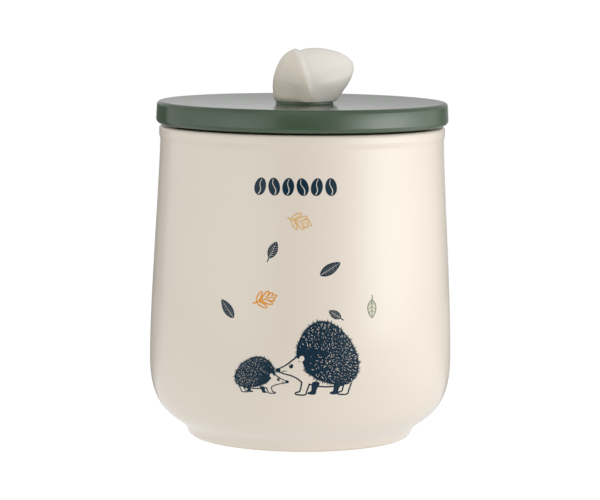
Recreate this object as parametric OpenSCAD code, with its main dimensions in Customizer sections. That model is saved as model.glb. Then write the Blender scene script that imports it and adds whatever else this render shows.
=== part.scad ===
// Glazed stoneware storage jar with a ceramic lid, a silicone lid seal and an acorn knob.
// The origin is the centre of the foot on the table, +Z is up, and the printed side faces -Y.
// The jar and the seal are turned about Z. The acorn lies on the lid with its tip towards +X.

/* [Jar] */
// Radius of the foot where it meets the table
foot_r = 47.5; // [46:0.5:48.5]
// Height of the foot, up to the crease under the bowl
foot_h = 4.6; // [4:0.1:5.5]
// Radius of the widest part of the belly
belly_r = 63.4; // [62.5:0.1:65]
// Height of the widest part of the belly
belly_z = 32.6; // [30:0.2:36]
// Outside radius at the top of the wall, under the rim bead
neck_r = 59.4; // [59:0.1:60]
// How far the rim bead stands out from the wall
bead = 0.5; // [0.3:0.1:0.8]
// Height of the rim
jar_h = 131; // [126:0.5:140]
// Inside radius of the mouth
mouth_r = 54.4; // [54.2:0.1:54.6]
// Thickness of the wall at the belly
wall = 5; // [4:0.25:6]
// Height of the inside floor above the table
floor_z = 9.5; // [8.5:0.5:11]
// Depth of the recess inside the foot ring
recess = 3.5; // [2.5:0.25:4]

/* [Lid] */
// Radius of the lid at its widest
lid_r = 61.2; // [60.8:0.1:62]
// Thickness of the lid at its edge
lid_t = 9.4; // [8.5:0.1:10.5]
// Depth of the shallow dish in the lid's top
dish = 0.8; // [0.4:0.1:1]
// Thickness of the lid inside its collar
web_t = 6.5; // [6:0.1:7]
// Outside radius of the collar that drops into the mouth
collar_r = 52; // [51.8:0.1:52.2]
// Thickness of the collar
collar_t = 5; // [4.5:0.25:5.5]
// Depth of the collar below the lid's edge
collar_h = 11.6; // [11:0.2:13]
// Clearance between the jar's rim and the lid
rim_gap = 0.15; // [0.1:0.05:0.3]
// Radius of the low round boss that the knob stands on
boss_r = 12.1; // [11:0.1:12.4]
// Height of the boss above the lid's edge
boss_h = 0.3; // [0.2:0.1:1]
// Distance of the boss's centre from the lid's centre
boss_x = 0.9; // [0.5:0.1:1.4]

/* [Seal] */
// Height of the groove in the collar that holds the seal
groove_h = 5.4; // [5:0.1:5.8]
// Depth of the groove
groove_d = 2; // [1.6:0.1:2.2]
// Number of fins on the seal
fins = 3; // [2:1:3]
// Clearance of the seal to the mouth and the groove
seal_gap = 0.05; // [0.03:0.01:0.1]

/* [Acorn knob] */
// Distance of the cup's rim from the lid's centre, towards the tip
acorn_x = 1.9; // [1:0.1:3]
// Height of the cup's rim centre above the lid
acorn_z = 8.6; // [8:0.1:9.5]
// Angle of the acorn's axis above the lid
acorn_tilt = 20.5; // [15:0.5:24]
// Turn of the acorn's tip away from the front
acorn_yaw = 6; // [0:0.5:12]
// Radius of the cup at its rim
cup_r = 14.4; // [14:0.1:15]
// Length of the cup behind its rim
cup_l = 15.2; // [14.5:0.1:16]
// Radius of the nut
nut_r = 12.9; // [12:0.1:13.2]
// Length of the nut in front of the cup's rim
nut_l = 20.7; // [19:0.1:22]
// Radius of the knob's round foot on the boss
foot_pad_r = 12.1; // [11:0.1:12.4]

/* [Knob fixing] */
// Length of the brass insert in the knob
insert_l = 10; // [8:0.5:11]
// Outside radius of the insert
insert_r = 4; // [3.8:0.1:4.5]
// Radius of the screw's shank
screw_r = 2.5; // [2.4:0.05:2.5]
// Length of the screw under its head
screw_l = 16; // [14:1:17]
// Radius of the screw's pan head
head_r = 4.75; // [4.5:0.05:5]
// Height of the screw's pan head
head_h = 3.6; // [3.2:0.1:4]

/* [Hidden] */
$fn = 96;

cream = [0.93, 0.9, 0.83];
green = [0.33, 0.39, 0.32];

lid_z = jar_h + rim_gap;
lid_top = lid_z + lid_t;
seat_z = lid_top + boss_h;
web_z = lid_top - web_t;
collar_z = lid_z - collar_h;
groove_z = collar_z + 2.9;
bore_r = screw_r + 0.05;
washer_t = 1;
head_z = web_z - 2 * washer_t;
insert_gap = 0.3;
fit = 0.03;

// Points of a circular arc about c, from angle a0 to a1
function arc(c, r, a0, a1, n = 8) =
    [for (i = [0:n]) c + r * [cos(a0 + (a1 - a0) * i / n), sin(a0 + (a1 - a0) * i / n)]];

// Points of a cubic curve after its first point
function curve(p, n = 18) =
    [for (i = [1:n]) let (t = i / n, s = 1 - t)
        s*s*s * p[0] + 3*s*s*t * p[1] + 3*s*t*t * p[2] + t*t*t * p[3]];

// Outside of the jar, from the foot up to the rim
foot_fillet = 2.7;
foot_flare = 1.3;
crease = [foot_r + foot_flare, foot_h];
bowl_angle = 42;
neck_z = jar_h - 7;
function jar_outside() = concat(
    arc([foot_r - foot_fillet, foot_fillet], foot_fillet, -90, 0, 6),
    [crease],
    curve([
        crease,
        crease + 5.8 * [cos(bowl_angle), sin(bowl_angle)],
        [belly_r, belly_z - 21.6],
        [belly_r, belly_z]
    ]),
    curve([
        [belly_r, belly_z],
        [belly_r, belly_z + 24.8],
        [neck_r + 0.95, neck_z - 27],
        [neck_r, neck_z]
    ]),
    [[neck_r, jar_h - 4.4], [neck_r + bead, jar_h - 3.9]],
    arc([neck_r + bead - 1.6, jar_h - 1.6], 1.6, 0, 90, 6)
);

// Inside of the jar, from the rim down to the floor's flat middle
corner_r = 34;
function jar_inside() = concat(
    arc([mouth_r + 1.2, jar_h - 1.2], 1.2, 90, 180, 5),
    [[mouth_r, jar_h - 19]],
    curve([
        [mouth_r, jar_h - 19],
        [mouth_r, jar_h - 31],
        [belly_r - wall, belly_z + 29],
        [belly_r - wall, belly_z + 3]
    ]),
    curve([
        [belly_r - wall, belly_z + 3],
        [belly_r - wall, belly_z - 14],
        [corner_r + 16, floor_z],
        [corner_r, floor_z]
    ])
);

// Body: a cast bowl on a foot ring, with a recess under its floor
land_r = 41.5;
module jar_body() {
    color(cream)
    rotate_extrude()
    polygon(concat(
        [[0, recess], [land_r - 3, recess]],
        arc([land_r + 0.6, 0.8], 0.8, 180, 270, 4),
        jar_outside(),
        jar_inside(),
        [[0, floor_z]]
    ));
}

// Lid: a plate with a shallow dish, a low boss and a collar, and a hole for the knob's screw
lid_fillet_top = 1.6;
lid_fillet_low = 2.1;
lid_draft = 0.3;
module lid_outline() {
    inner = collar_r - collar_t;
    edge = lid_r - lid_draft - lid_fillet_top;
    n = 24;
    polygon(concat(
        [[0, web_z], [inner - 2, web_z]],
        arc([inner - 2, web_z - 2], 2, 90, 0, 5),
        arc([inner + 1, collar_z + 1], 1, 180, 270, 4),
        arc([collar_r - 1, collar_z + 1], 1, -90, 0, 4),
        [
            [collar_r, groove_z],
            [collar_r - groove_d, groove_z],
            [collar_r - groove_d, groove_z + groove_h],
            [collar_r, groove_z + groove_h],
            [collar_r, lid_z]
        ],
        arc([lid_r - lid_fillet_low, lid_z + lid_fillet_low], lid_fillet_low, -90, 0, 7),
        arc([edge, lid_top - lid_fillet_top], lid_fillet_top, 0, 90, 7),
        [for (i = [1:n]) let (t = 1 - i / n) [edge * t, lid_top - dish * (1 - t * t)]]
    ));
}

module lid_plate() {
    color(green)
    difference() {
        union() {
            rotate_extrude() lid_outline();
            translate([boss_x, 0, lid_top - 2]) cylinder(h = 2 + boss_h, r = boss_r);
        }
        translate([0, 0, web_z - 1]) cylinder(h = web_t + boss_h + 2, r = screw_r + 0.25);
    }
}

// Seal: a band that sits in the collar's groove, with fins that reach the mouth
fin_root = 1.3;
fin_tip = 0.5;
module seal_ring() {
    back = collar_r - groove_d + seal_gap;
    face = collar_r + 0.4;
    tip = mouth_r - seal_gap;
    low = groove_z + seal_gap;
    high = groove_z + groove_h - seal_gap;
    pitch = (high - low - fin_root) / (fins - 1);
    color([0.92, 0.92, 0.9])
    rotate_extrude()
    polygon(concat(
        [[back, low]],
        [for (i = [0:fins - 1], k = [0:3])
            let (z = low + fin_root / 2 + i * pitch)
            [k == 0 || k == 3 ? face : tip,
             z + (k < 2 ? -1 : 1) * (k == 0 || k == 3 ? fin_root : fin_tip) / 2]],
        [[back, high]]
    ));
}

// Acorn: half outlines of the cup and the nut, turned about the acorn's own axis
module cup_outline() {
    lip = 0.6;
    fullness = 2.3;
    bluntness = 0.78;
    n = 22;
    polygon(concat(
        [[0, 0], [cup_r - lip, 0]],
        [for (i = [0:n]) let (t = sin(90 * i / n)) [
            i == n ? 0 : cup_r * pow(1 - pow(t, fullness), bluntness),
            -lip - t * (cup_l - lip)
        ]]
    ));
}

module nut_outline() {
    shoulder = 3.3;
    fullness = 1.37;
    bluntness = 0.59;
    n = 24;
    polygon(concat(
        [[0, -1], [nut_r, -1]],
        [for (i = [0:n]) let (t = sin(90 * i / n)) [
            i == n ? 0 : nut_r * pow(1 - pow(t, fullness), bluntness),
            shoulder + t * (nut_l - shoulder)
        ]]
    ));
}

// Knob: the acorn lies on its side, filled out to a round foot, with a socket for the insert
module acorn_knob() {
    foot_side = 1.2;
    foot_slope = 4.5;
    foot_top = 6;
    socket_h = insert_l + 0.6;
    color(cream)
    difference() {
        union() {
            intersection() {
                translate([acorn_x, 0, lid_top + acorn_z])
                rotate([0, 90 - acorn_tilt, acorn_yaw]) {
                    rotate_extrude() cup_outline();
                    rotate_extrude() nut_outline();
                }
                translate([-30, -30, seat_z]) cube([70, 60, 30]);
            }
            translate([boss_x, 0, seat_z])
            rotate_extrude()
            polygon([
                [0, 0], [foot_pad_r, 0], [foot_pad_r, foot_side],
                [foot_pad_r - foot_slope, foot_top], [0, foot_top]
            ]);
        }
        translate([0, 0, seat_z - 1]) cylinder(h = 1 + socket_h, r = insert_r + fit);
    }
}

// Insert: a grooved brass sleeve glued into the knob, threaded for the screw
module knob_insert() {
    groove = 0.4;
    color([0.78, 0.62, 0.3])
    translate([0, 0, seat_z + insert_gap])
    difference() {
        cylinder(h = insert_l, r = insert_r);
        translate([0, 0, -1]) cylinder(h = insert_l + 2, r = bore_r);
        for (z = [insert_l * 0.3, insert_l * 0.7])
            translate([0, 0, z - 0.5])
            difference() {
                cylinder(h = 1, r = insert_r + 1);
                translate([0, 0, -1]) cylinder(h = 3, r = insert_r - groove);
            }
    }
}

// Screw: a pan head under the lid with a cross recess, and a plain shank for its thread
module knob_screw() {
    recess_w = 1.1;
    recess_l = 5;
    recess_d = 2;
    crown = 1.9;
    color([0.75, 0.76, 0.78])
    difference() {
        rotate_extrude()
        polygon(concat(
            [[0, head_z + screw_l], [0, head_z - head_h]],
            arc([head_r - crown, head_z - head_h + crown], crown, -90, 0, 6),
            [
                [head_r, head_z],
                [screw_r, head_z],
                [screw_r, head_z + screw_l - 0.6],
                [screw_r - 0.6, head_z + screw_l]
            ]
        ));
        for (a = [0, 90])
            rotate([0, 0, a])
            translate([-recess_l / 2, -recess_w / 2, head_z - head_h - 1])
            cube([recess_l, recess_w, recess_d + 1]);
    }
}

// A flat washer whose underside is at height z
module washer(z, hole, outside) {
    translate([0, 0, z])
    difference() {
        cylinder(h = washer_t, r = outside);
        translate([0, 0, -1]) cylinder(h = washer_t + 2, r = hole);
    }
}

// Steel washer under the screw's head
module screw_washer() {
    color([0.72, 0.73, 0.75]) washer(head_z, 2.65, 5);
}

// Soft washer that keeps the steel off the glaze
module cushion_washer() {
    color([0.25, 0.25, 0.26]) washer(head_z + washer_t, 2.75, 7);
}

jar_body();
lid_plate();
seal_ring();
acorn_knob();
knob_insert();
knob_screw();
screw_washer();
cushion_washer();
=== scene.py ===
import math
import random

import bmesh
import bpy
from mathutils import Matrix, Vector, geometry, noise


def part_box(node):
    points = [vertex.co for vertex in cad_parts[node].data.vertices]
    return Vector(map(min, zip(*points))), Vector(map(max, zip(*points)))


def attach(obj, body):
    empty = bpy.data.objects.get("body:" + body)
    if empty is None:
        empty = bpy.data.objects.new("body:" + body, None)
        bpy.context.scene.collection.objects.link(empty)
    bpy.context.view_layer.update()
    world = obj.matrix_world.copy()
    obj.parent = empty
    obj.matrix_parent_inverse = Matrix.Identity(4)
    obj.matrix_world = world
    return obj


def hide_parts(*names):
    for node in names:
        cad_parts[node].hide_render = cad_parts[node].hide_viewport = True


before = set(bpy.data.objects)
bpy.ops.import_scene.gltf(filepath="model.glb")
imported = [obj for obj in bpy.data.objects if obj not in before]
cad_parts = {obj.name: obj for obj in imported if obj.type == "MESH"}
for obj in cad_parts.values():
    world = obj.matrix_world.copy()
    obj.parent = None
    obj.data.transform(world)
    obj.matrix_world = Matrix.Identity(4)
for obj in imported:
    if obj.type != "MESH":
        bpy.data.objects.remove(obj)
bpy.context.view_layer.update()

# ---------------------------------------------------------------------------
# Sizes, in metres. Overall sizes come from the CAD parts in model.glb, and the rest of each
# outline is worked out from them.
# ---------------------------------------------------------------------------
MM = 0.001

JAR_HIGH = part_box("jar_body")[1]
LID_LOW, LID_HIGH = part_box("lid_plate")
SEAL_LOW, SEAL_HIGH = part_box("seal_ring")
INSERT_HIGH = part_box("knob_insert")[1]
CUSHION_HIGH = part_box("cushion_washer")[1]

BELLY_R = JAR_HIGH.x
RIM_Z = JAR_HIGH.z
LID_R = LID_HIGH.x
BOSS_TOP = LID_HIGH.z
LID_TOP = BOSS_TOP - 0.3 * MM
COLLAR_Z = LID_LOW.z
WEB_Z = CUSHION_HIGH.z

FOOT_R = 47.5 * MM
FOOT_H = 4.6 * MM
BELLY_Z = 32.6 * MM
NECK_R = 59.4 * MM
NECK_Z = RIM_Z - 7 * MM
BEAD = 0.5 * MM
MOUTH_R = 54.4 * MM
WALL = 5 * MM
FLOOR_Z = 9.5 * MM
RECESS = 3.5 * MM

RIM_GAP = 0.15 * MM    # between the lid and the CAD's rim
RIM_DROP = 0.6 * MM    # how far the visible rim is below the CAD's, for the dark line under the lid
LID_DISH = 0.8 * MM
BOSS_R = 12.1 * MM
BOSS_X = 0.9 * MM      # how far the boss stands to the right of the lid's axis
COLLAR_R = 52 * MM
COLLAR_T = 5 * MM
GROOVE_Z = COLLAR_Z + 2.9 * MM
GROOVE_H = 5.4 * MM
GROOVE_D = 2 * MM

ACORN = Vector((1.9 * MM, 0, LID_TOP + 8.6 * MM))
ACORN_TILT = math.radians(20.5)
ACORN_YAW = math.radians(6)
CUP_R = 14.4 * MM
CUP_L = 15.2 * MM
NUT_R = 12.9 * MM
NUT_L = 20.7 * MM
KNOB_FOOT_R = 12.9 * MM


# ---------------------------------------------------------------------------
# Outlines: lists of (radius, height) points
# ---------------------------------------------------------------------------
def arc(r, z, radius, start, end, steps=10):
    """Points of an arc round (r, z), between two angles in degrees."""
    points = []
    for i in range(steps + 1):
        angle = math.radians(start + (end - start) * i / steps)
        points.append((r + radius * math.cos(angle), z + radius * math.sin(angle)))
    return points


def curve(a, b, c, d, steps=44):
    """A cubic curve from a to d with handles b and c, without its first point."""
    points = []
    for i in range(1, steps + 1):
        t = i / steps
        s = 1 - t
        points.append(tuple(
            s**3 * a[k] + 3 * s * s * t * b[k] + 3 * s * t * t * c[k] + t**3 * d[k]
            for k in range(2)
        ))
    return points


def line(a, b, steps):
    """A straight run from a to b, without its first point."""
    return [
        (a[0] + (b[0] - a[0]) * i / steps, a[1] + (b[1] - a[1]) * i / steps)
        for i in range(1, steps + 1)
    ]


def between(stops, place):
    """The value at place, from (place, value) stops."""
    place = max(place, stops[0][0])
    for (a, low), (b, high) in zip(stops, stops[1:]):
        if place <= b:
            return low + (high - low) * (place - a) / (b - a)
    return stops[-1][1]


CREASE = (FOOT_R + 1.3 * MM, FOOT_H)
BOWL_SLOPE = math.radians(42)


def jar_wall():
    """The outside from the crease above the foot to the top of the wall."""
    reach = 5.8 * MM
    handle = (CREASE[0] + reach * math.cos(BOWL_SLOPE), CREASE[1] + reach * math.sin(BOWL_SLOPE))
    belly = (BELLY_R, BELLY_Z)
    bowl = curve(CREASE, handle, (BELLY_R, BELLY_Z - 21.6 * MM), belly)
    side = curve(
        belly,
        (BELLY_R, BELLY_Z + 24.8 * MM),
        (NECK_R + 0.95 * MM, NECK_Z - 27 * MM),
        (NECK_R, NECK_Z),
        60,
    )
    return [CREASE] + bowl + side


def jar_outline():
    """From the middle of the recess under the floor, over the foot, the wall and the rim, and back
    inside to the middle of the floor."""
    land_r = 41.5 * MM
    recess_r = land_r - 3 * MM
    land_round = 0.8 * MM
    foot_round = 2.7 * MM
    bead_r = NECK_R + BEAD
    rim_z = RIM_Z - RIM_DROP
    rim_out = 1.4 * MM
    rim_in = 1.2 * MM
    inner_r = BELLY_R - WALL
    inner_belly = (inner_r, BELLY_Z + 3 * MM)
    mouth_end = (MOUTH_R, RIM_Z - 19 * MM)
    corner = 34 * MM
    under = line((0, RECESS), (recess_r, RECESS), 10)
    foot = arc(land_r + 0.6 * MM, land_round, land_round, 180, 270, 6)
    foot += arc(FOOT_R - foot_round, foot_round, foot_round, -90, -8, 10)
    bead = curve(
        (NECK_R, NECK_Z),
        (NECK_R, NECK_Z + 1.4 * MM),
        (bead_r, NECK_Z + 2 * MM),
        (bead_r, NECK_Z + 3.4 * MM),
        14,
    )
    rim = arc(bead_r - rim_out, rim_z - rim_out, rim_out, 0, 90)
    rim += arc(MOUTH_R + rim_in, rim_z - rim_in, rim_in, 90, 180)
    inside = line((MOUTH_R, rim_z - rim_in), mouth_end, 12)
    inside += curve(
        mouth_end,
        (MOUTH_R, RIM_Z - 31 * MM),
        (inner_r, BELLY_Z + 29 * MM),
        inner_belly,
    )
    inside += curve(
        inner_belly,
        (inner_r, BELLY_Z - 14 * MM),
        (corner + 16 * MM, FLOOR_Z),
        (corner, FLOOR_Z),
    )
    inside += line((corner, FLOOR_Z), (0, FLOOR_Z), 12)
    return [(0, RECESS)] + under + foot + jar_wall() + bead + rim + inside


def lid_outline():
    """A closed loop, from the screw's hole outwards under the lid and back over its top."""
    hole = 2.75 * MM
    nick = 0.2 * MM
    web_round = 2 * MM
    collar_round = 1 * MM
    collar_top = 0.5 * MM
    low_round = 2.1 * MM
    top_round = 1.6 * MM
    draft = 0.3 * MM
    fillet = 0.25 * MM
    inner = COLLAR_R - COLLAR_T
    groove_r = COLLAR_R - GROOVE_D
    groove_top = GROOVE_Z + GROOVE_H
    low = RIM_Z + RIM_GAP
    edge = LID_R - draft - top_round
    boss_foot = LID_TOP - dish_depth(BOSS_R) + fillet
    points = [(hole, BOSS_TOP - nick), (hole, WEB_Z + nick), (hole + nick, WEB_Z)]
    points += line(points[-1], (inner - web_round, WEB_Z), 14)
    points += arc(inner - web_round, WEB_Z - web_round, web_round, 90, 0)
    points += arc(inner + collar_round, COLLAR_Z + collar_round, collar_round, 180, 270, 8)
    points += arc(COLLAR_R - collar_round, COLLAR_Z + collar_round, collar_round, -90, 0, 8)
    points += arc(COLLAR_R - nick, GROOVE_Z - nick, nick, 0, 90, 3)
    points += [(groove_r, GROOVE_Z), (groove_r, groove_top)]
    points += arc(COLLAR_R - nick, groove_top + nick, nick, -90, 0, 3)
    points += arc(COLLAR_R + collar_top, low - collar_top, collar_top, 180, 90, 4)
    points += arc(LID_R - low_round, low + low_round, low_round, -90, 0)
    points += arc(edge, LID_TOP - top_round, top_round, 0, 90)
    dish = line((edge, LID_TOP), (BOSS_R + fillet, LID_TOP), 90)
    points += [(r, z - dish_depth(r)) for r, z in dish]
    points += arc(BOSS_R + fillet, boss_foot, fillet, 262, 180, 6)
    points += arc(BOSS_R - fillet, BOSS_TOP - fillet, fillet, 0, 90, 6)
    points += line((BOSS_R - fillet, BOSS_TOP), (hole + nick, BOSS_TOP), 8)
    return points


def dish_depth(r):
    """Depth of the shallow dish in the lid's top."""
    edge = LID_R - 1.9 * MM
    return LID_DISH * max(0, 1 - (r / edge) ** 2)


def seal_outline():
    """A closed loop: a band with three fins, each thick at its root and round at its tip."""
    fins = 3
    root = 1.3 * MM
    half_root = root / 2 - 0.02 * MM
    tip_r = 0.25 * MM
    face = COLLAR_R + 0.4 * MM
    low, high = SEAL_LOW.z, SEAL_HIGH.z
    back = COLLAR_R - GROOVE_D + 0.05 * MM
    pitch = (high - low - root) / (fins - 1)
    points = [(back, high), (back, low)]
    for i in range(fins):
        middle = low + root / 2 + i * pitch
        points.append((face, middle - half_root))
        points += arc(SEAL_HIGH.x - tip_r, middle, tip_r, -90, 90, 6)
        points.append((face, middle + half_root))
    return points


# ---------------------------------------------------------------------------
# Mesh helpers
# ---------------------------------------------------------------------------
def put(name, bm, materials, sharp_angle=38):
    """A new object from a bmesh, smooth but for edges sharper than sharp_angle."""
    bmesh.ops.recalc_face_normals(bm, faces=bm.faces)
    for face in bm.faces:
        face.smooth = True
    limit = math.radians(sharp_angle)
    for edge in bm.edges:
        edge.smooth = len(edge.link_faces) == 2 and edge.calc_face_angle(0) < limit
    mesh = bpy.data.meshes.new(name)
    bm.to_mesh(mesh)
    bm.free()
    for item in materials:
        mesh.materials.append(item)
    piece = bpy.data.objects.new(name, mesh)
    bpy.context.scene.collection.objects.link(piece)
    return piece


def circle(radius, z, steps):
    """Points of a level circle round the axis."""
    angles = [2 * math.pi * i / steps for i in range(steps)]
    return [(radius * math.cos(angle), radius * math.sin(angle), z) for angle in angles]


def revolve(outline, steps=256, closed=False):
    """A bmesh of the outline turned about Z. An open outline starts and ends on the axis."""
    bm = bmesh.new()
    rings = []
    for r, z in outline:
        points = circle(r, z, steps) if r > 1e-9 else [(0, 0, z)]
        rings.append([bm.verts.new(point) for point in points])
    following = rings[1:] + rings[:1] if closed else rings[1:]
    for a, b in zip(rings, following):
        for i in range(steps):
            j = (i + 1) % steps
            corners = [a[i % len(a)], a[j % len(a)], b[j % len(b)], b[i % len(b)]]
            corners = list(dict.fromkeys(corners))
            if len(corners) > 2:
                bm.faces.new(corners)
    return bm


# ---------------------------------------------------------------------------
# Materials
# ---------------------------------------------------------------------------
def srgb(r, g, b):
    """A colour given as it is seen on a screen, 0 to 255, as linear numbers."""
    def linear(c):
        c /= 255
        return c / 12.92 if c <= 0.04045 else ((c + 0.055) / 1.055) ** 2.4
    return (linear(r), linear(g), linear(b), 1)


class Maker:
    """A node material under construction."""

    def __init__(self, name, **sockets):
        self.material = bpy.data.materials.new(name)
        self.material.use_nodes = True
        self.tree = self.material.node_tree
        self.shader = self.tree.nodes["Principled BSDF"]
        self.position = self.add("ShaderNodeTexCoord").outputs["Object"]
        for key, value in sockets.items():
            self.shader.inputs[key].default_value = value

    def add(self, kind, **settings):
        node = self.tree.nodes.new(kind)
        for key, value in settings.items():
            setattr(node, key, value)
        return node

    def link(self, a, b):
        self.tree.links.new(a, b)

    def noise(self, size, detail=3, roughness=0.5):
        """Noise with features of about the given size in metres."""
        node = self.add("ShaderNodeTexNoise")
        node.inputs["Scale"].default_value = 1 / size
        node.inputs["Detail"].default_value = detail
        node.inputs["Roughness"].default_value = roughness
        self.link(self.position, node.inputs["Vector"])
        return node.outputs["Fac"]

    def ramp(self, value, stops):
        """A colour ramp over value, from (place, colour) stops."""
        node = self.add("ShaderNodeValToRGB")
        elements = node.color_ramp.elements
        while len(elements) < len(stops):
            elements.new(0.5)
        for element, (place, colour) in zip(elements, stops):
            element.position = place
            element.color = colour
        self.link(value, node.inputs["Fac"])
        return node.outputs["Color"]

    def grey(self, value, low, high, start=0.3, end=0.7):
        """value from start to end, mapped to low to high."""
        node = self.add("ShaderNodeMapRange")
        for socket, number in zip(node.inputs[1:5], (start, end, low, high)):
            socket.default_value = number
        self.link(value, node.inputs["Value"])
        return node.outputs["Result"]

    def mix(self, factor, a, b):
        """Colour a where factor is 0 and b where it is 1."""
        node = self.add("ShaderNodeMix", data_type="RGBA")
        for socket, value in ((node.inputs[0], factor), (node.inputs[6], a), (node.inputs[7], b)):
            if isinstance(value, bpy.types.NodeSocket):
                self.link(value, socket)
            else:
                socket.default_value = value
        return node.outputs[2]

    def bump(self, *layers):
        """Bump from (value, depth in metres) layers."""
        normal = None
        for value, depth in layers:
            node = self.add("ShaderNodeBump")
            node.inputs["Strength"].default_value = 1
            node.inputs["Distance"].default_value = depth
            self.link(value, node.inputs["Height"])
            if normal:
                self.link(normal, node.inputs["Normal"])
            normal = node.outputs["Normal"]
        self.link(normal, self.shader.inputs["Normal"])

    def set(self, name, value):
        self.link(value, self.shader.inputs[name])


def cream_glaze(name, tone, warm, roughness, white=None):
    """A glossy cream glaze: soft clouds from warm to tone, and faint specks. With a colour white, it
    turns to that colour as far as a mesh attribute says: on the knob this is a painted highlight that
    makes the nut lighter than the cup, in place of the light from the right."""
    m = Maker(name, Metallic=0, IOR=1.5)
    clouds = m.ramp(m.noise(45 * MM, 2), [(0.3, warm), (0.7, tone)])
    if white:
        # Painted light: this attribute lightens the nut, standing in for the light from the right that
        # falls on it.
        painted_nut_light = m.add("ShaderNodeAttribute", attribute_name="painted_nut_light").outputs["Fac"]
        clouds = m.mix(painted_nut_light, clouds, white)
    specks = m.grey(m.noise(0.55 * MM, 1), 0, 0.35, 0.74, 0.82)
    speck = tuple(0.72 * c for c in warm[:3]) + (1,)
    m.set("Base Color", m.mix(specks, clouds, speck))
    m.set("Roughness", m.grey(m.noise(6 * MM), roughness, roughness + 0.03))
    m.bump((m.noise(9 * MM, 2), 0.03 * MM), (m.noise(0.9 * MM, 2), 0.002 * MM))
    return m.material


def green_glaze():
    """The lid's glaze: deep green in soft clouds, with faint darker specks."""
    m = Maker("lid_green_glaze", Metallic=0, IOR=1.58)
    deep = srgb(53, 73, 52)
    pale = srgb(64, 85, 62)
    clouds = m.ramp(m.noise(30 * MM, 3), [(0.32, deep), (0.68, pale)])
    specks = m.grey(m.noise(0.5 * MM, 1), 0, 0.5, 0.72, 0.8)
    m.set("Base Color", m.mix(specks, clouds, srgb(44, 60, 42)))
    m.set("Roughness", m.grey(m.noise(5 * MM), 0.09, 0.13))
    m.bump((m.noise(7 * MM, 2), 0.02 * MM), (m.noise(0.8 * MM, 2), 0.002 * MM))
    return m.material


def bare_clay():
    """The unglazed foot: dry, sandy stoneware."""
    m = Maker("bare_stoneware", Metallic=0)
    grain = m.noise(0.35 * MM, 4, 0.7)
    m.set("Base Color", m.ramp(grain, [(0.3, srgb(196, 178, 150)), (0.7, srgb(222, 208, 184))]))
    m.set("Roughness", m.grey(grain, 0.75, 0.95))
    m.bump((grain, 0.05 * MM))
    return m.material


def ink(name, colour, thin):
    """A printed colour under the clear glaze, a little uneven as transfers are."""
    m = Maker(name, Metallic=0, IOR=1.5)
    m.shader.inputs["Specular IOR Level"].default_value = 0.25
    m.set("Base Color", m.ramp(m.noise(0.8 * MM, 3, 0.6), [(0.35, colour), (0.75, thin)]))
    m.set("Roughness", m.grey(m.noise(6 * MM), 0.12, 0.16))
    m.bump((m.noise(9 * MM, 2), 0.03 * MM))
    return m.material


def silicone():
    """Clear milky silicone."""
    m = Maker("milky_silicone", Metallic=0, IOR=1.41)
    m.shader.inputs["Subsurface Weight"].default_value = 0.5
    m.shader.inputs["Subsurface Radius"].default_value = (1.2 * MM, 1.2 * MM, 1.1 * MM)
    m.shader.inputs["Subsurface Scale"].default_value = 1
    m.set("Base Color", m.ramp(m.noise(8 * MM), [(0.3, srgb(214, 216, 210)), (0.7, srgb(230, 231, 226))]))
    m.set("Roughness", m.grey(m.noise(1.2 * MM), 0.32, 0.45))
    return m.material


def metal(name, dark, light, roughness, size):
    """Turned metal with fine marks round its axis, of the given size in metres."""
    m = Maker(name, Metallic=1)
    stretch = m.add("ShaderNodeMapping")
    stretch.inputs["Scale"].default_value = (1, 1, 9)
    m.link(m.position, stretch.inputs["Vector"])
    m.position = stretch.outputs["Vector"]
    marks = m.noise(size, 4, 0.65)
    m.set("Base Color", m.ramp(marks, [(0.3, dark), (0.7, light)]))
    m.set("Roughness", m.grey(marks, roughness, roughness + 0.14))
    m.bump((marks, 0.01 * MM))
    return m.material


def fibre():
    """Dark pressed fibre."""
    m = Maker("dark_fibre", Metallic=0)
    grain = m.noise(0.3 * MM, 4, 0.7)
    m.set("Base Color", m.ramp(grain, [(0.3, srgb(40, 38, 37)), (0.7, srgb(62, 59, 57))]))
    m.set("Roughness", m.grey(grain, 0.8, 0.95))
    m.bump((grain, 0.03 * MM))
    return m.material


JAR_GLAZE = cream_glaze("jar_cream_glaze", srgb(228, 218, 204), srgb(226, 216, 202), 0.1)
# The last colour is a painted highlight: the whiter nut stands in for the light from the right that
# brightens it.
KNOB_GLAZE = cream_glaze(
    "knob_cream_glaze", srgb(230, 221, 207), srgb(225, 214, 197), 0.2, srgb(245, 239, 230)
)
LID_GLAZE = green_glaze()
CLAY = bare_clay()
NAVY = ink("ink_navy", srgb(8, 35, 50), srgb(18, 53, 73))
ORANGE = ink("ink_orange", srgb(220, 141, 30), srgb(230, 163, 62))
TAN = ink("ink_tan", srgb(217, 174, 110), srgb(226, 194, 146))
GREEN = ink("ink_green", srgb(116, 124, 96), srgb(138, 145, 118))
PALE_GREEN = ink("ink_pale_green", srgb(200, 199, 180), srgb(211, 208, 190))
SILICONE = silicone()
BRASS = metal("turned_brass", srgb(176, 138, 66), srgb(206, 172, 96), 0.3, 0.6 * MM)
SCREW_STEEL = metal("screw_steel", srgb(170, 172, 176), srgb(205, 206, 208), 0.26, 0.5 * MM)
WASHER_STEEL = metal("washer_steel", srgb(160, 162, 165), srgb(196, 197, 199), 0.3, 0.8 * MM)
FIBRE = fibre()


# ---------------------------------------------------------------------------
# Jar, lid and seal
# ---------------------------------------------------------------------------
def make_jar():
    """The glazed jar, with bare clay where the foot meets the table."""
    bm = revolve(jar_outline(), 320)
    bare_top = 0.7 * MM
    bare_r = 40 * MM
    for face in bm.faces:
        middle = face.calc_center_median()
        reach = math.hypot(middle.x, middle.y)
        face.material_index = 1 if middle.z < bare_top and reach > bare_r else 0
    piece = put("glazed_jar", bm, [JAR_GLAZE, CLAY])
    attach(piece, "jar")
    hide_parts("jar_body")


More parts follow.
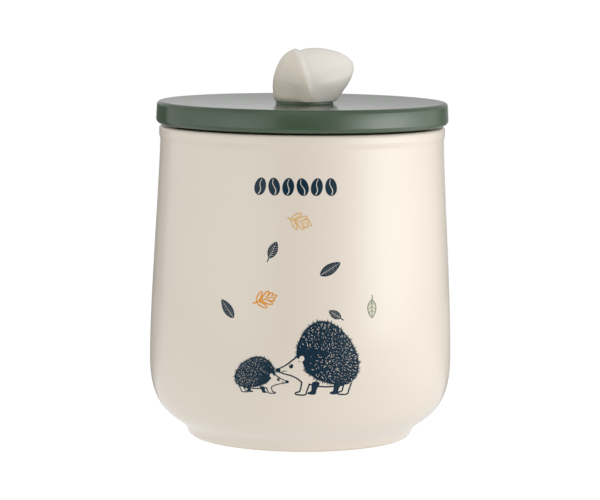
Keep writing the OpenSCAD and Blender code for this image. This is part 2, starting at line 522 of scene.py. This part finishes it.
def make_lid():
    """The lid. Its boss is moved off the axis, and the dish round it follows less and less."""
    bm = revolve(lid_outline(), 320, closed=True)
    follows = [(4 * MM, 0), (9 * MM, 1), (14 * MM, 1), (40 * MM, 0)]
    under_dish = LID_TOP - 1.2 * LID_DISH
    for v in bm.verts:
        reach = math.hypot(v.co.x, v.co.y)
        if v.co.z > under_dish and reach < LID_R - 3 * MM:
            v.co.x += BOSS_X * between(follows, reach)
    piece = put("glazed_lid", bm, [LID_GLAZE])
    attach(piece, "lid")
    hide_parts("lid_plate")


def make_seal():
    bm = revolve(seal_outline(), 256, closed=True)
    piece = put("silicone_seal", bm, [SILICONE])
    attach(piece, "seal")
    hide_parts("seal_ring")


# ---------------------------------------------------------------------------
# Acorn knob. In its own frame +Z points to the tip, and the cup's rim is at 0.
# ---------------------------------------------------------------------------
ACORN_TO_LID = (
    Matrix.Translation(ACORN)
    @ Matrix.Rotation(ACORN_YAW, 4, "Z")
    @ Matrix.Rotation(math.pi / 2 - ACORN_TILT, 4, "Y")
)
ACORN_AXIS = (ACORN_TO_LID.to_3x3() @ Vector((0, 0, 1))).normalized()
SCALE_DEPTH = 0.05 * MM
FOOT_ROUND = 0.8 * MM


def nut_radius(u):
    """Radius of the smooth nut, u in front of the cup's rim."""
    shoulder = 3.3 * MM
    if u <= shoulder:
        return NUT_R
    t = min(1, (u - shoulder) / (NUT_L - shoulder))
    return NUT_R * (1 - t**1.37) ** 0.59


def cup_radius(u):
    """Radius of the cup, u behind its rim."""
    return CUP_R * (1 - min(1, u / CUP_L) ** 2.3) ** 0.78


def acorn_outline():
    """From the tip over the nut, up the soft step to the cup's lip, and to the cup's back."""
    steps = 60
    front = 1.5 * MM
    crest = 0.5 * MM
    points = [(0, NUT_L)]
    for i in range(1, steps + 1):
        u = front + (NUT_L - front) * math.cos(math.pi / 2 * i / steps)
        points.append((nut_radius(u), u))
    step = cup_radius(crest) - NUT_R
    step_steps = 12
    for i in range(1, step_steps + 1):
        t = i / step_steps
        rise = 0.5 - 0.5 * math.cos(math.pi * t)
        points.append((NUT_R + step * rise, front - (front + crest) * t))
    for i in range(1, steps):
        u = crest + (CUP_L - crest) * math.sin(math.pi / 2 * i / steps)
        points.append((cup_radius(u), -u))
    points.append((0, -CUP_L))
    return points


def cup_scales(r, u, angle):
    """How far the cup's overlapping scales stand out, u behind the rim. The glaze all but fills them."""
    rows = 7
    around = 20
    start = 1.8 * MM
    if u < start or r < 2 * MM:
        return 0
    row = (u - start) / (CUP_L - start) * rows
    k = math.floor(row)
    along = row - k
    across = (angle / (2 * math.pi) * around + 0.5 * (k % 2)) % 1 - 0.5
    broad = max(0, 1 - (2 * abs(across)) ** 2.2)
    tall = math.sin(math.pi * min(1, along + 0.12)) ** 0.7
    fade = min(1, (u - start) / (1.5 * MM))
    return SCALE_DEPTH * broad * tall * fade


def wrapped(points, foot_x, foot_y, from_x, to_x):
    """The hull of some points and of the foot's oval between from_x and to_x. It reaches a little
    below the boss's top, where the knob is cut flat later."""
    below = 3 * MM
    bm = bmesh.new()
    for x, y, _ in circle(1, 0, 96):
        x = BOSS_X + foot_x * x
        if from_x <= x <= to_x:
            for z in (BOSS_TOP - below, BOSS_TOP):
                bm.verts.new((x, foot_y * y, z))
    for point in points:
        bm.verts.new(point)
    hull = bmesh.ops.convex_hull(bm, input=bm.verts[:])
    inner = [v for v in hull["geom_interior"] if isinstance(v, bmesh.types.BMVert)]
    bmesh.ops.delete(bm, geom=inner, context="VERTS")
    return bm


def rough_knob():
    """The acorn and the hulls that carry it down to its foot, merged into one skin and softened."""
    bm = revolve(acorn_outline(), 240)
    cup = [ACORN_TO_LID @ v.co for v in bm.verts if v.co.z < 0]
    nut = [ACORN_TO_LID @ v.co for v in bm.verts if v.co.z > 1.4 * MM]
    bmesh.ops.transform(bm, matrix=ACORN_TO_LID, verts=bm.verts)
    cup_foot = wrapped(cup, KNOB_FOOT_R, KNOB_FOOT_R, -1, 5 * MM)
    nut_foot = wrapped(nut, KNOB_FOOT_R - 1.5 * MM, KNOB_FOOT_R - 0.8 * MM, 0, 1)
    for part in (cup_foot, nut_foot):
        joined = bpy.data.meshes.new("wrap")
        part.to_mesh(joined)
        part.free()
        bm.from_mesh(joined)
    piece = put("acorn_rough", bm, [])
    remesh = piece.modifiers.new("merge", "REMESH")
    remesh.mode = "VOXEL"
    remesh.voxel_size = 0.3 * MM
    smooth = piece.modifiers.new("soften", "SMOOTH")
    smooth.factor = 0.5
    smooth.iterations = 12
    depsgraph = bpy.context.evaluated_depsgraph_get()
    mesh = bpy.data.meshes.new_from_object(piece.evaluated_get(depsgraph))
    bpy.data.objects.remove(piece)
    rough = bmesh.new()
    rough.from_mesh(mesh)
    return rough


def make_knob():
    """The acorn knob, cut flat on the boss and opened for the insert. Its nut is painted whiter than its
    cup, a painted highlight for the light from the right.
    """
    bm = rough_knob()
    sculpt_knob(bm)
    flat = bmesh.ops.bisect_plane(
        bm,
        geom=bm.verts[:] + bm.edges[:] + bm.faces[:],
        plane_co=(0, 0, BOSS_TOP),
        plane_no=(0, 0, -1),
        clear_outer=True,
    )
    rim = [e for e in flat["geom_cut"] if isinstance(e, bmesh.types.BMEdge)]
    close_base(bm, rim)
    # Painted light: how far each point takes the nut's whiter colour, which stands in for the light from
    # the right.
    painted_nut_light = bm.verts.layers.float.new("painted_nut_light")
    from_cup_to_nut = [(-2.2 * MM, 0), (0.2 * MM, 1)]
    lid_to_acorn = ACORN_TO_LID.inverted()
    for v in bm.verts:
        v[painted_nut_light] = between(from_cup_to_nut, (lid_to_acorn @ v.co).z)
    piece = put("acorn", bm, [KNOB_GLAZE], 60)
    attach(piece, "lid")
    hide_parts("acorn_knob")


def sculpt_knob(bm):
    """Leans the cup's rim, gives the cup faint scales, makes the whole a little uneven, and rounds
    the foot under, most of all at the cup's end."""
    bm.normal_update()
    lid_to_acorn = ACORN_TO_LID.inverted()
    reach = 9 * MM
    lean = 0.11
    back = 1.3 * MM
    ripple = 0.16 * MM
    ripple_size = 7 * MM
    scale_fade = 3 * MM
    rear_fade = 9 * MM
    socket_clear = 8 * MM
    moves = []
    for v in bm.verts:
        local = lid_to_acorn @ v.co
        r = math.hypot(local.x, local.y)
        above = v.co.z - BOSS_TOP
        move = v.normal * ripple * noise.noise(v.co / ripple_size)
        if local.z < 0 and above > 0:
            scales = cup_scales(r, -local.z, math.atan2(local.y, local.x))
            move += v.normal * scales * min(1, above / scale_fade)
        near_rim = max(0, 1 - (local.z / reach) ** 2) ** 2
        move += ACORN_AXIS * near_rim * (lean * -local.x - back)
        rear = min(1, max(0, 0.5 - v.co.x / rear_fade))
        under = max(0, 1 - max(0, above) / ((1 + rear) * MM)) ** 2
        inwards = Vector((BOSS_X - v.co.x, -v.co.y, 0))
        if inwards.length > socket_clear:
            move += inwards.normalized() * FOOT_ROUND * (0.4 + 0.6 * rear) * under
        moves.append((v, move))
    for v, move in moves:
        v.co += move


def close_base(bm, rim):
    """Fills the flat base round the socket for the insert, and gives the socket its walls."""
    steps = 48
    radius = INSERT_HIGH.x + 0.03 * MM
    roof = INSERT_HIGH.z + 0.3 * MM
    rings = [[bm.verts.new(point) for point in circle(radius, z, steps)] for z in (BOSS_TOP, roof)]
    mouth = []
    for i in range(steps):
        j = (i + 1) % steps
        bm.faces.new((rings[0][i], rings[0][j], rings[1][j], rings[1][i]))
        mouth.append(bm.edges.get((rings[0][i], rings[0][j])))
    bm.faces.new(rings[1])
    bmesh.ops.triangle_fill(bm, use_beauty=True, edges=rim + mouth)


# ---------------------------------------------------------------------------
# Prints. Their shapes are drawn flat in millimetres: x along the jar's front,
# y up its wall. Each becomes a thin closed skin on the glaze.
# ---------------------------------------------------------------------------
PRINT_R = 62.0         # the radius at which a print's width is measured, in millimetres
SKIN_OUT = 0.03 * MM
SKIN_IN = 0.05 * MM
GRID = 1.0             # spacing of the points that let a print bend with the wall, in millimetres


def wall_table():
    """(distance up the wall in mm, r, z, outward normal) along the outside."""
    wall = jar_wall()
    rows = []
    reach = 0
    for i, (r, z) in enumerate(wall):
        if i:
            reach += math.dist(wall[i - 1], wall[i]) / MM
        before = wall[max(0, i - 1)]
        after = wall[min(len(wall) - 1, i + 1)]
        along = Vector((after[0] - before[0], after[1] - before[1])).normalized()
        rows.append((reach, r, z, along.y, -along.x))
    belly = min(rows, key=lambda row: abs(row[2] - BELLY_Z))
    shift = BELLY_Z / MM - belly[0]
    return [(row[0] + shift,) + row[1:] for row in rows]


WALL_TABLE = wall_table()


def on_jar(x, y, lift):
    """The point of the jar's outside at print coordinates x, y, raised by lift metres."""
    low = 0
    high = len(WALL_TABLE) - 1
    while high - low > 1:
        middle = (low + high) // 2
        if WALL_TABLE[middle][0] > y:
            high = middle
        else:
            low = middle
    a, b = WALL_TABLE[low], WALL_TABLE[high]
    t = (y - a[0]) / (b[0] - a[0])
    r, z, nr, nz = (a[k] + (b[k] - a[k]) * t for k in range(1, 5))
    angle = x / PRINT_R
    r += nr * lift
    return Vector((r * math.sin(angle), -r * math.cos(angle), z + nz * lift))


def turned(points, x, y, angle):
    """Flat points, turned by angle in degrees and moved to x, y."""
    c = math.cos(math.radians(angle))
    s = math.sin(math.radians(angle))
    return [(x + px * c - py * s, y + px * s + py * c) for px, py in points]


def oval(x, y, a, b, angle=0, steps=20):
    """An oval round x, y with half axes a and b, turned by angle in degrees."""
    ring = [(a * px, b * py) for px, py, _ in circle(1, 0, steps)]
    return turned(ring, x, y, angle)


def smooth_line(points, steps=8, closed=False):
    """A curve through the points."""
    n = len(points)
    out = []
    for i in range(n if closed else n - 1):
        if closed:
            p = [points[(i + k) % n] for k in (-1, 0, 1, 2)]
        else:
            p = [points[max(0, min(n - 1, i + k))] for k in (-1, 0, 1, 2)]
        for j in range(steps):
            t = j / steps
            out.append(tuple(
                0.5 * (
                    2 * p[1][k]
                    + (p[2][k] - p[0][k]) * t
                    + (2 * p[0][k] - 5 * p[1][k] + 4 * p[2][k] - p[3][k]) * t * t
                    + (3 * p[1][k] - p[0][k] - 3 * p[2][k] + p[3][k]) * t**3
                )
                for k in range(2)
            ))
    if not closed:
        out.append(points[-1])
    return out


def stroke(points, wide, narrow=None):
    """A pen line as overlapping pieces. Its width goes from wide to narrow, if one is given."""
    narrow = wide if narrow is None else narrow
    pieces = []
    n = len(points) - 1
    for i, (x, y) in enumerate(points):
        half = (wide + (narrow - wide) * i / n) / 2
        pieces.append(oval(x, y, half, half, 0, 10))
        if i == n:
            break
        after = (wide + (narrow - wide) * (i + 1) / n) / 2
        dx, dy = points[i + 1][0] - x, points[i + 1][1] - y
        length = math.hypot(dx, dy)
        nx, ny = -dy / length, dx / length
        pieces.append([
            (x - nx * half, y - ny * half),
            (points[i + 1][0] - nx * after, points[i + 1][1] - ny * after),
            (points[i + 1][0] + nx * after, points[i + 1][1] + ny * after),
            (x + nx * half, y + ny * half),
        ])
    return pieces


def anticlockwise(polygon):
    """The polygon, reversed if it runs clockwise."""
    area = sum(a[0] * b[1] - b[0] * a[1] for a, b in zip(polygon, polygon[1:] + polygon[:1]))
    return polygon if area > 0 else polygon[::-1]


def inked_triangles(layers):
    """Triangles of what stays inked, as points and index triples. A layer is (inked, polygons), and
    a later layer covers the ones before it."""
    points, faces, is_ink = [], [], []
    for inked, polygons in layers:
        for polygon in polygons:
            polygon = anticlockwise(polygon)
            faces.append(list(range(len(points), len(points) + len(polygon))))
            points += [Vector(p) for p in polygon]
            is_ink.append(inked)
    xs = [p.x for p in points]
    ys = [p.y for p in points]
    for i in range(int((max(xs) - min(xs)) / GRID) + 1):
        for j in range(int((max(ys) - min(ys)) / GRID) + 1):
            points.append(Vector((min(xs) + (i + 0.5 * (j % 2)) * GRID, min(ys) + j * GRID)))
    result = geometry.delaunay_2d_cdt(points, [], faces, 1, 1e-4, True)
    flat, triangles, owners = result[0], result[2], result[5]
    kept = [t for t, owner in zip(triangles, owners) if owner and is_ink[max(owner)]]
    return flat, kept


def split_fans(triangles):
    """Gives each fan of triangles that meet only at a point its own corner there.
    Returns the triangles as (original point, fan) corners."""
    at = {}
    for t, triangle in enumerate(triangles):
        for v in triangle:
            at.setdefault(v, []).append(t)
    fan_of = {}
    for v, around in at.items():
        group = {t: t for t in around}

        def root(t):
            while group[t] != t:
                t = group[t]
            return t

        by_neighbour = {}
        for t in around:
            for other in triangles[t]:
                if other == v:
                    continue
                if other in by_neighbour:
                    group[root(t)] = root(by_neighbour[other])
                by_neighbour[other] = t
        for t in around:
            fan_of[(v, t)] = root(t)
    return [
        tuple((v, fan_of[(v, t)]) for v in triangle) for t, triangle in enumerate(triangles)
    ]


def make_print(name, material, layers, lift=0):
    """A thin closed skin of the inked shapes on the jar's wall, its face raised by lift metres."""
    flat, kept = inked_triangles(layers)
    triangles = split_fans(kept)
    bm = bmesh.new()
    top, bottom = {}, {}
    for corner in sorted({c for triangle in triangles for c in triangle}):
        x, y = flat[corner[0]]
        top[corner] = bm.verts.new(on_jar(x, y, SKIN_OUT + lift))
        bottom[corner] = bm.verts.new(on_jar(x, y, -SKIN_IN))
    border = {}
    for triangle in triangles:
        bm.faces.new([top[c] for c in triangle])
        bm.faces.new([bottom[c] for c in reversed(triangle)])
        for a, b in zip(triangle, triangle[1:] + triangle[:1]):
            if (b, a) in border:
                del border[(b, a)]
            else:
                border[(a, b)] = True
    for a, b in border:
        bm.faces.new((top[b], top[a], bottom[a], bottom[b]))
    piece = put(name, bm, [material])
    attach(piece, "jar")


# ---------------------------------------------------------------------------
# Shapes of the artwork, in millimetres
# ---------------------------------------------------------------------------
def bean(x, y, angle):
    """A coffee bean and the S-shaped slit along it."""
    half_wide, half_tall, half_slit = 2.45, 3.6, 3
    body = [(half_wide * px * (1 - 0.06 * py), half_tall * py) for px, py, _ in circle(1, 0, 36)]
    slit = []
    for i in range(15):
        t = i / 14
        sway = 0.55 * math.sin(2 * math.pi * t) * (1 - 0.3 * t)
        slit.append((sway, half_slit * (2 * t - 1)))
    return [turned(body, x, y, angle)], stroke(turned(slit, x, y, angle), 0.42, 0.24)


def leaf_half(t, width):
    """Half the width of a leaf at t of its length from the stalk."""
    return width / 2 * math.sin(math.pi * t**0.88) ** 0.72


def leaf_outline(length, width):
    """A pointed leaf that lies along x, with its stalk's end at 0."""
    steps = 24
    edge = [(length * i / steps, leaf_half(i / steps, width)) for i in range(steps + 1)]
    return edge + [(d, -w) for d, w in reversed(edge[1:-1])]


def leaf_stalk(stem):
    """A slightly bent stalk of the given length."""
    return stroke([(0.7, 0), (-0.4 * stem, 0.1 * stem), (-stem, 0.08 * stem)], 0.55, 0.4)


def leaf_veins(length, width, pairs, rib, side_rib):
    """The rib of a leaf and the pairs of veins that leave it at a slant."""
    veins = stroke([(0.05 * length, 0), (0.93 * length, 0)], rib, 0.6 * rib)
    for i in range(pairs):
        start = 0.14 + 0.68 * i / pairs
        reach = leaf_half(start + 0.08, width) * 0.84
        for side in (1, -1):
            end = (length * start + 0.7 * reach, side * reach)
            veins += stroke([(length * start, 0), end], side_rib, 0.6 * side_rib)
    return veins


def placed(shapes, x, y, angle):
    """All the shapes, turned by angle in degrees and moved to x, y."""
    return [turned(shape, x, y, angle) for shape in shapes]


def oak_leaf(length, width, pen):
    """A lobed leaf in pen lines, its outline and its rib, as layers."""
    lobes = [(0.56 * length, 0, 0.46 * length, 0.1 * width, 0)]
    rib = [(-0.16 * length, -0.02 * length), (0.1 * length, 0), (0.8 * length, 0)]
    for along, half, slant in ((0.02, 0.27, 46), (0.29, 0.26, 36), (0.56, 0.17, 30)):
        for side in (1, -1):
            angle = math.radians(side * slant)
            x = (along + half * math.cos(angle)) * length
            y = half * math.sin(angle) * length
            lobes.append((x, y, half * length, 0.088 * width, side * slant))
    grow = pen / 2
    outside = [oval(x, y, a + grow, b + grow, turn) for x, y, a, b, turn in lobes]
    hollow = [oval(x, y, a - grow, b - grow, turn) for x, y, a, b, turn in lobes]
    return [(True, outside), (False, hollow), (True, stroke(rib, pen * 1.1, pen * 0.7))]


def spines(border, centre, length, draw):
    """Short spines that stand out all round a closed edge."""
    shapes = []
    for x, y in border:
        direction = combed(x, y, centre) + draw.uniform(-0.5, 0.5)
        reach = length * draw.uniform(0.2, 1)
        half = 0.36 * length * draw.uniform(0.7, 1.3)
        c, s = math.cos(direction), math.sin(direction)
        shapes.append([
            (x - 0.7 * length * c + half * s, y - 0.7 * length * s - half * c),
            (x + reach * c, y + reach * s),
            (x - 0.7 * length * c - half * s, y - 0.7 * length * s + half * c),
        ])
    return shapes


def flecks(edge, centre, face, length, draw):
    """Clear flecks between the spines. There are none close to the face."""
    shapes = []
    xs = [p[0] for p in edge]
    ys = [p[1] for p in edge]
    step = 0.8 * length
    for i in range(int((max(xs) - min(xs)) / step) + 1):
        for j in range(int((max(ys) - min(ys)) / step) + 1):
            x = min(xs) + (i + 0.5 * (j % 2) + draw.uniform(-0.4, 0.4)) * step
            y = min(ys) + (j + draw.uniform(-0.4, 0.4)) * step
            direction = combed(x, y, centre) + draw.uniform(-0.9, 0.9)
            reach = length * draw.uniform(0.15, 0.55)
            half = length * draw.uniform(0.04, 0.12)
            away = math.dist((x, y), face) / length - 4
            away += 6 * min(0, noise.noise(Vector((x, y, 0)) / (2.5 * length)))
            if draw.random() * 4 > away or not inside(x, y, edge, 0.4 * length):
                continue
            c, s = math.cos(direction), math.sin(direction)
            shapes.append([
                (x - reach * c, y - reach * s),
                (x + half * s, y - half * c),
                (x + reach * c, y + reach * s),
                (x - half * s, y + half * c),
            ])
    return shapes


def combed(x, y, centre):
    """The way a spine points at x, y: straight out from the centre."""
    return math.atan2(y - centre[1], x - centre[0])


def spaced(edge, gap):
    """Points along a closed edge, gap apart."""
    points, carried = [], 0
    for a, b in zip(edge, edge[1:] + edge[:1]):
        run = math.dist(a, b)
        while carried < run:
            t = carried / run
            points.append((a[0] + (b[0] - a[0]) * t, a[1] + (b[1] - a[1]) * t))
            carried += gap
        carried -= run
    return points


def inside(x, y, edge, margin):
    """Whether a point is in a closed edge and at least margin from its corners."""
    odd = False
    for (ax, ay), (bx, by) in zip(edge, edge[1:] + edge[:1]):
        if (ay > y) != (by > y) and x < (bx - ax) * (y - ay) / (by - ay) + ax:
            odd = not odd
        if math.hypot(ax - x, ay - y) < margin:
            return False
    return odd


def hedgehog(x, y, wide, tall, facing, spine, pen, seed):
    """A plain side view of a hedgehog on all fours, as layers. Its nose is at x and its feet are at y,
    and it faces left when facing is 1 and right when it is -1. It is drawn 35 wide and 32 tall, and
    brought to the size wide by tall."""
    drawn_wide, drawn_tall = 35, 32
    draw = random.Random(seed)

    def at(points, smooth=0, closed=False):
        points = smooth_line(points, smooth, closed) if smooth else points
        return [(x + facing * px * wide / drawn_wide, y + py * tall / drawn_tall) for px, py in points]

    def dot(px, py, a, b, angle=0):
        cx, cy = at([(px, py)])[0]
        return oval(cx, cy, a, b, facing * angle)

    coat = at([
        (8.6, 16.8), (9.6, 22.8), (12.8, 28.2), (18.0, 31.2), (23.6, 30.0), (28.8, 25.8),
        (32.8, 19.8), (34.8, 13.4), (33.9, 7.8), (30.4, 4.7), (25.4, 4.2), (20.2, 5.4), (15.6, 7.6),
        (12.4, 10.6), (11.0, 13.8),
    ], 6, closed=True)
    centre = at([(21, 13)])[0]
    face = at([(8, 12)])[0]
    layers = [(True, [coat] + spines(spaced(coat, 0.5 * spine), centre, spine, draw))]
    layers.append((False, flecks(coat, centre, face, spine, draw)))

    far_legs = [
        at([(leg, 5.4), (leg - 0.5, 1.8), (leg - 1.9, 1.0), (leg - 1.5, 0.2), (leg + 1.2, 0.2),
            (leg + 1.8, 2.2), (leg + 3.0, 5.2)], 4, closed=True)
        for leg in (15.2, 24.4)
    ]
    snout = at([(9.0, 16.4), (6.8, 14.6), (4.0, 12.4), (1.2, 10.9)], 6)
    chin = at([(1.2, 9.7), (3.4, 8.9), (6.2, 8.2), (8.8, 7.0), (10.8, 5.4)], 6)
    belly = at([(13.8, 4.6), (17.4, 3.7), (22, 3.4), (28.4, 3.9)], 6)
    lines = far_legs + stroke(snout, pen * 1.1, pen * 0.8) + stroke(chin, pen * 0.8, pen)
    lines += stroke(belly, pen)
    for leg in (10.8, 28.4):
        lines += stroke(at([
            (leg, 5.2), (leg - 0.4, 2.8), (leg - 0.9, 1.4), (leg - 2.4, 0.9), (leg - 2.2, 0.1),
            (leg + 1.4, 0.0), (leg + 2.2, 1.8), (leg + 3.2, 4.6),
        ], 5), pen)
    lines += [dot(1.0, 10.3, 1.7 * pen, 1.5 * pen), dot(6.4, 12.2, 1.4 * pen, 1.6 * pen)]
    lines += stroke(at([(2.6, 9.5), (3.7, 10.1), (4.6, 10.0)], 4), 0.6 * pen, 0.4 * pen)
    layers.append((True, lines))

    ear = 0.9 * spine
    layers.append((False, [dot(10.8, 15.4, ear, 1.15 * ear, 25), dot(6.1, 12.7, 0.4 * pen, 0.4 * pen)]))
    turns = [math.radians(-70 + 22 * i) for i in range(12)]
    ex, ey = at([(10.8, 15.4)])[0]
    rim = [(ex + facing * 0.95 * ear * math.cos(a), ey + 1.1 * ear * math.sin(a)) for a in turns]
    layers.append((True, stroke(rim, 0.8 * pen, 0.6 * pen)))
    return layers


def make_beans():
    """A row of beans that lean one way and the other."""
    inked, slits = [], []
    for i, lean in enumerate((-14, 8, -6, 14, -10, 6)):
        shape, slit = bean(-17.3 + 5.9 * i, 110, lean)
        inked += shape
        slits += slit
    make_print("print_beans", NAVY, [(True, inked), (False, slits)])


def make_navy_leaves():
    # stalk end x and y, angle, length, width, stalk, pairs of veins, rib, vein
    leaves = [
        (-12.9, 81.3, 66, 7.4, 3.9, 1.6, 5, 0.16, 0.15),
        (7.7, 74.7, 31, 9.8, 4.3, 0, 9, 0.2, 0.07),
        (-27.4, 56.6, 129, 9.2, 4.2, 0, 8, 0.2, 0.07),
        (16.2, 57.4, 148, 5.8, 3.3, 1.3, 4, 0.16, 0.15),
    ]
    for i, (x, y, angle, length, width, stem, pairs, rib, side_rib) in enumerate(leaves):
        body = [leaf_outline(length, width)] + (leaf_stalk(stem) if stem else [])
        veins = leaf_veins(length, width, pairs, rib, side_rib)
        layers = [(True, placed(body, x, y, angle)), (False, placed(veins, x, y, angle))]
        make_print(f"print_leaf_{i + 1}", NAVY, layers)


def make_green_leaf():
    """A pale leaf with darker lines on top."""
    x, y, angle, length, width = 29.5, 64.2, -90, 7.1, 3.7
    pen = 0.42
    edge = leaf_outline(length, width)
    lines = stroke(edge + edge[:1], pen) + leaf_veins(length, width, 3, pen, 0.26) + leaf_stalk(2)
    make_print("print_green_leaf", PALE_GREEN, [(True, placed([edge], x, y, angle))])
    make_print("print_green_lines", GREEN, [(True, placed(lines, x, y, angle))], 0.01 * MM)


def make_oak_leaves():
    for name, material, x, y, angle in (
        ("print_tan_oak", TAN, -4.2, 97.3, -16),
        ("print_orange_oak", ORANGE, -17.8, 63.6, 19),
    ):
        layers = [(inked, placed(shapes, x, y, angle)) for inked, shapes in oak_leaf(8.6, 8, 0.6)]
        make_print(name, material, layers)


def make_hedgehogs():
    make_print("print_hedgehog_large", NAVY, hedgehog(-9.6, 26.6, 33.4, 30.5, 1, 1.4, 0.6, 7))
    make_print("print_hedgehog_small", NAVY, hedgehog(-4.4, 27.0, 22.2, 15, -1, 1.0, 0.42, 11))


# ---------------------------------------------------------------------------
# Small CAD parts keep their shape and get a material
# ---------------------------------------------------------------------------
def dress(node, material):
    """Gives a CAD node its material."""
    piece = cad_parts[node]
    piece.data.materials.clear()
    piece.data.materials.append(material)


def dress_fixing():
    dress("knob_insert", BRASS)
    dress("knob_screw", SCREW_STEEL)
    dress("screw_washer", WASHER_STEEL)
    dress("cushion_washer", FIBRE)


# ---------------------------------------------------------------------------
# Camera, backdrop and lights
# ---------------------------------------------------------------------------
CAMERA_PLACE = (0, -1.1715, 0.2117)
CAMERA_DOWN = 6.52     # degrees below level
CAMERA_ROLL = 0.51     # degrees


def make_camera():
    """A long lens from the front, a little above the lid."""
    data = bpy.data.cameras.new("camera")
    data.lens = 168
    data.sensor_width = 36
    data.shift_x = -0.0018
    data.clip_end = 100
    camera = bpy.data.objects.new("camera", data)
    camera.matrix_world = (
        Matrix.Translation(CAMERA_PLACE)
        @ Matrix.Rotation(math.radians(90 - CAMERA_DOWN), 4, "X")
        @ Matrix.Rotation(math.radians(CAMERA_ROLL), 4, "Z")
    )
    bpy.context.scene.collection.objects.link(camera)
    bpy.context.scene.camera = camera


# How brightly the studio glows round the jar, as (degrees from the camera to the right, radiance):
# on the table, and at three heights of the light tent
TABLE_NEAR = [
    (-180, 0.7), (-165, 0.35), (-135, 0.25), (-118, 0.85), (0, 0.9), (118, 0.8), (135, 0.25),
    (165, 0.35), (180, 0.7),
]
TABLE_FAR = [
    (-180, 0.7), (-165, 0.2), (-135, 0.15), (-118, 0.7), (-40, 0.95), (-15, 0.4), (15, 0.4),
    (35, 1.2), (70, 1.7), (105, 1.3), (125, 0.4), (165, 0.35), (180, 0.7),
]
LOW_GLOW = [
    (-180, 0.9), (-168, 0.6), (-157, 0.13), (-130, 0.12), (-123, 0.65), (-100, 0.9), (-60, 1.55),
    (-40, 1.65), (-22, 1.0), (-13, 0.22), (0, 0.22), (14, 0.55), (25, 0.85), (35, 1.7), (45, 2.9),
    (56, 4.2), (68, 4.4), (78, 3.8), (91, 2.5), (105, 1.5), (122, 0.75), (135, 0.25), (150, 0.25),
    (168, 0.5), (180, 0.9),
]
MIDDLE_GLOW = [
    (-180, 0.48), (-168, 0.56), (-130, 0.5), (-100, 0.8), (-40, 0.9), (-15, 0.85), (15, 0.85),
    (40, 0.76), (55, 0.7), (80, 0.72), (105, 0.72), (130, 0.46), (168, 0.46), (180, 0.48),
]
HIGH_GLOW = [(-180, 0.75), (-130, 0.75), (-90, 0.8), (0, 1.1), (90, 0.8), (130, 0.75), (180, 0.75)]
SKY = 0.64
TENT_R = 0.55          # the tent's radius and height, in metres
TENT_H = 0.7


def tent_glow(azimuth, z):
    """How brightly the tent glows at an azimuth and a height."""
    low, middle, high = (between(row, azimuth) for row in (LOW_GLOW, MIDDLE_GLOW, HIGH_GLOW))
    stops = [(0, 0.75 * low), (0.04, low), (0.13, low), (0.19, middle), (0.38, middle)]
    return between(stops + [(0.5, high), (TENT_H, high)], z)


def white_glow(name):
    """A material that only glows, in white. Its strength is still to be set."""
    m = Maker(name)
    m.shader.inputs["Base Color"].default_value = (0, 0, 0, 1)
    m.shader.inputs["Specular IOR Level"].default_value = 0
    m.shader.inputs["Emission Color"].default_value = (1, 1, 1, 1)
    return m


def glow_surface(name, points, strengths):
    """A stage surface that only glows, made of columns of points round the jar, each with its strength.
    It lights the jar and the camera doesn't see it."""
    bm = bmesh.new()
    layer = bm.verts.layers.float.new("glow")
    grid = []
    for column, glows in zip(points, strengths):
        verts = [bm.verts.new(point) for point in column]
        for v, value in zip(verts, glows):
            v[layer] = value
        grid.append(verts)
    for a, b in zip(grid, grid[1:] + grid[:1]):
        for j in range(len(a) - 1):
            bm.faces.new((a[j], b[j], b[j + 1], a[j + 1]))
    m = white_glow(name)
    m.set("Emission Strength", m.add("ShaderNodeAttribute", attribute_name="glow").outputs["Fac"])
    piece = put(name, bm, [m.material])
    piece.visible_camera = False


def make_backdrop():
    """A white dome with a flat floor, which only the camera sees. Its light stays off the jar."""
    bm = bmesh.new()
    bmesh.ops.create_uvsphere(bm, u_segments=48, v_segments=24, radius=5)
    for v in bm.verts:
        v.co.z = max(v.co.z, 0)
    m = white_glow("white_backdrop")
    m.shader.inputs["Emission Strength"].default_value = 1.02
    backdrop = put("backdrop", bm, [m.material])
    backdrop.visible_diffuse = False
    backdrop.visible_glossy = False
    backdrop.visible_transmission = False
    backdrop.visible_shadow = False


def make_lights():
    """A light tent round the jar, a light table just under the floor, and a grey sky."""
    columns = 96
    rows = 28
    azimuths = [-180 + 360 * i / columns for i in range(columns)]
    radii = [0.001, 0.03, 0.06, 0.1, 0.2, 0.35, TENT_R, 2]
    heights = [TENT_H * j / rows for j in range(rows + 1)]
    table_z = -0.5 * MM
    table, tent, table_glow, wall_glow = [], [], [], []
    for azimuth in azimuths:
        across, along = math.sin(math.radians(azimuth)), -math.cos(math.radians(azimuth))
        table.append([(r * across, r * along, table_z) for r in radii])
        tent.append([(TENT_R * across, TENT_R * along, z) for z in heights])
        near, far = between(TABLE_NEAR, azimuth), between(TABLE_FAR, azimuth)
        stops = [(0, near), (0.1, near), (0.3, far), (2, far)]
        table_glow.append([between(stops, r) for r in radii])
        wall_glow.append([tent_glow(azimuth, z) for z in heights])
    glow_surface("light_table", table, table_glow)
    glow_surface("light_tent", tent, wall_glow)
    world = bpy.data.worlds.new("studio")
    world.use_nodes = True
    world.node_tree.nodes["Background"].inputs["Color"].default_value = (SKY, SKY, SKY, 1)
    bpy.context.scene.world = world
    bpy.context.scene.view_settings.view_transform = "Standard"


make_camera()
make_backdrop()
make_lights()
make_jar()
make_lid()
make_seal()
make_knob()
dress_fixing()
make_beans()
make_navy_leaves()
make_green_leaf()
make_oak_leaves()
make_hedgehogs()
